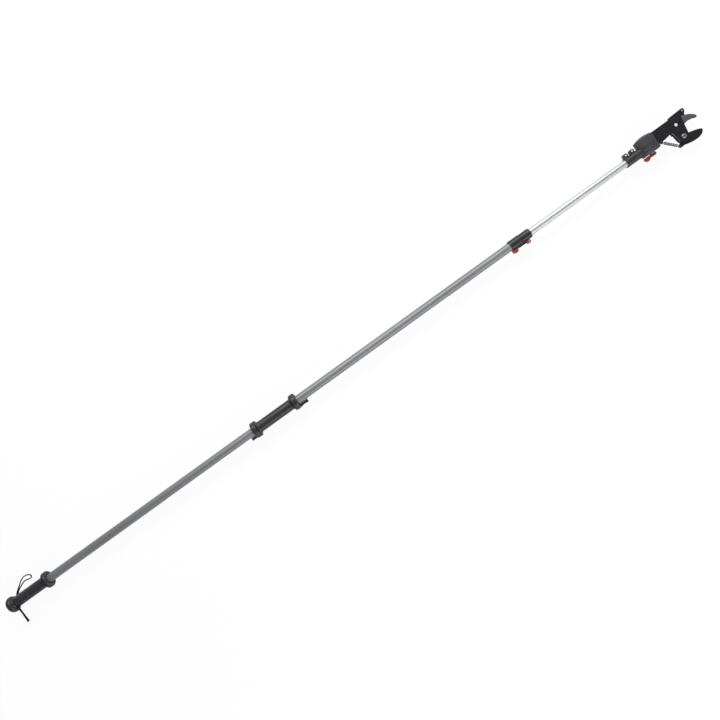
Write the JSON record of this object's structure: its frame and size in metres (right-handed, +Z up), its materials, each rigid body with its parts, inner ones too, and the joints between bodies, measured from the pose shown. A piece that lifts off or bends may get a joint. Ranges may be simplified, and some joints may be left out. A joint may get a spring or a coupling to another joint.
{
  "type": "telescopic tree pruner pole",
  "caption": "Long telescopic pole with a swivelling bypass cutting head at one end, worked by pulling a sliding grip on the pole that draws a strap inside the tubes.",
  "frame": {"origin": "centre of the butt end, on the pole's axis", "axes": "+X runs along the pole to the cutting head, +Z is up as the pole lies with its blade flat, +Y is the side of the ear and the socket screws"},
  "size_m": [2.4183, 0.1174, 0.058],
  "materials": {
    "grey_tube": "satin grey coat",
    "silver_tube": "bright anodised",
    "black_plastic": "moulded, fine grain",
    "red_plastic": "moulded, satin",
    "steel": "zinc plated",
    "hook_steel": "ground, satin",
    "blade_steel": "black low friction coat",
    "strap_web": "woven strap",
    "cord": "braided cord",
    "pad_rubber": "dense rubber",
    "pale_plastic": "acetal",
    "guide_plastic": "acetal"
  },
  "bodies": {
    "pole": {"end_grip": "black_plastic", "outer_tube": "grey_tube", "cord_loop": "cord", "cord_tail": "cord", "cord_knot": "cord", "collar": "black_plastic", "collar_screw": "steel", "collar_bush": "guide_plastic", "brake_pads": "pad_rubber", "lever_pin": "steel"},
    "lever": {"clamp_lever": "red_plastic"},
    "inner": {"inner_tube": "silver_tube", "inner_guide": "guide_plastic", "head_socket": "black_plastic", "socket_screws": "steel", "socket_nuts": "steel"},
    "roller": {"strap_roller": "pale_plastic"},
    "grip": {"pull_grip": "black_plastic", "strap_carriage": "black_plastic", "carriage_rivets": "steel", "pole_strap": "strap_web"},
    "head": {"head_arm": "black_plastic", "head_cover": "black_plastic", "cover_screws": "steel", "hook": "hook_steel", "hook_bolt": "steel", "hook_nut": "steel", "pivot_bolt": "steel", "pivot_washer": "steel", "pivot_nut": "steel", "swivel_bolt": "steel", "swivel_cap": "black_plastic", "swivel_washer": "steel", "return_spring": "steel"},
    "wing": {"wing_nut": "red_plastic"},
    "link": {"strap_link": "steel", "strap_pin": "steel", "head_strap": "strap_web", "link_rivets": "steel"},
    "blade": {"blade": "blade_steel"}
  },
  "joints": [
    {"name": "telescope", "type": "slide", "parent": "pole", "child": "inner", "axis": [1, 0, 0], "range_m": [-0.325, 0.56]},
    {"name": "clamp_flip", "type": "hinge", "parent": "pole", "child": "lever", "pos_m": [1.8175, -0.0186, 0], "axis": [0, 0, 1], "range_deg": [0, 100]},
    {"name": "grip_pull", "type": "slide", "parent": "inner", "child": "grip", "axis": [-1, 0, 0], "range_m": [0, 0.02545], "stiffness_N_per_m": 300, "springref_m": -0.03},
    {"name": "head_swivel", "type": "hinge", "parent": "inner", "child": "head", "pos_m": [2.2535, 0, 0], "axis": [0, 1, 0], "range_deg": [-30, 100]},
    {"name": "strap_draw", "type": "slide", "parent": "head", "child": "link", "axis": [-1, 0, 0], "range_m": [0, 0.0255]},
    {"name": "blade_close", "type": "hinge", "parent": "head", "child": "blade", "pos_m": [2.351, -0.0336, 0], "axis": [0, 0, 1], "range_deg": [0, 54], "deforming": ["return_spring"]},
    {"name": "roller_spin", "type": "hinge", "parent": "inner", "child": "roller", "pos_m": [2.2535, 0, 0], "axis": [0, 1, 0], "range_deg": [0, 335]},
    {"name": "wing_turn", "type": "hinge", "parent": "head", "child": "wing", "pos_m": [2.2535, -0.024, 0], "axis": [0, -1, 0], "range_deg": [0, 360]}
  ],
  "couplings": [
    {"joint": "strap_draw", "follows": "grip_pull", "ratio": 1},
    {"joint": "blade_close", "follows": "grip_pull", "rad_per_m": 37},
    {"joint": "roller_spin", "follows": "grip_pull", "rad_per_m": 227.2}
  ]
}
